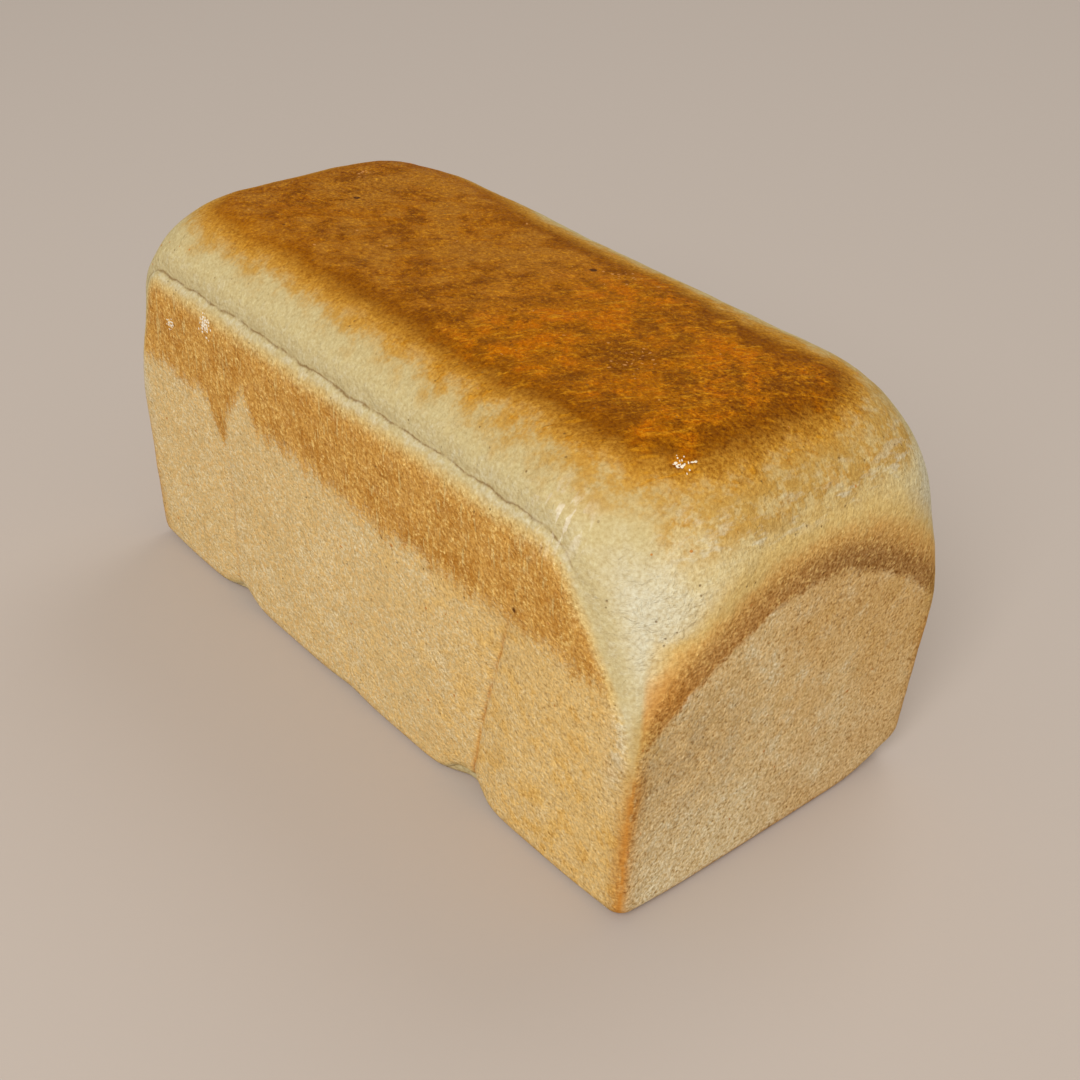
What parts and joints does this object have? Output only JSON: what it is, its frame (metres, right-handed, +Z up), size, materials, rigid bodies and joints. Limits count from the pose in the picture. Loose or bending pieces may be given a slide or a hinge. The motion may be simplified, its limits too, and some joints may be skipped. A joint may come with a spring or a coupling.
{
  "type": "tin loaf",
  "caption": "uncut straight-sided tin loaf with a flat browned top, pale rounded shoulders, a shred line along each long side and a flat base to stand on",
  "frame": {"origin": "centre of the flat base the loaf stands on", "axes": "+Z up, +X along the length towards the end with the wide pale corner, +Y across the loaf"},
  "size_m": [0.2394, 0.1212, 0.124],
  "materials": {
    "crust": "dry baked crust: matt sandy tan where the tin held it, golden brown above, deep brown on the flat top, pale cream on the shoulders"
  },
  "bodies": {
    "root": {"loaf": "crust"}
  },
  "joints": []
}
